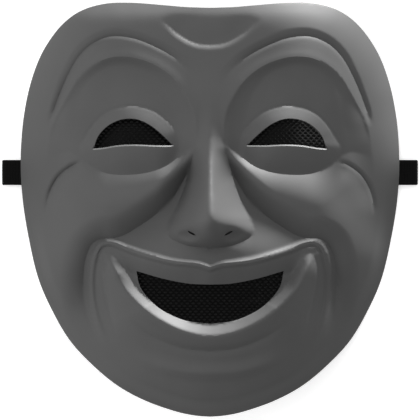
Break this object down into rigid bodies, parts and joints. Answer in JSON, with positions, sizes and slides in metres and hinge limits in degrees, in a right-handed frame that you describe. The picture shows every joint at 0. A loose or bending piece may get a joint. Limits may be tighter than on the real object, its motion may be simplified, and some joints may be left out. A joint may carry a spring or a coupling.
{
  "type": "theatre mask",
  "caption": "Laughing theatre mask: a thin moulded face shell with black perforated sheet behind its eyes and mouth and a flat elastic strap that holds it on.",
  "frame": {"origin": "middle of the mask's outline, on the plane of the floor that the mask lies on, without the strap", "axes": "+Z out of the face, away from the floor it lies on; +Y towards the forehead; +X towards the wearer's left, which is on the right in a front view"},
  "size_m": [0.1986, 0.1967, 0.0803],
  "materials": {
    "shell_plastic": "satin matt, moulded",
    "screen_mesh": "thin black sheet with rows of small holes",
    "strap_elastic": "flat woven elastic"
  },
  "bodies": {
    "root": {"mask_shell": "shell_plastic", "eye_screen_left": "screen_mesh", "eye_screen_right": "screen_mesh", "mouth_screen": "screen_mesh", "elastic_strap": "strap_elastic"}
  },
  "joints": []
}
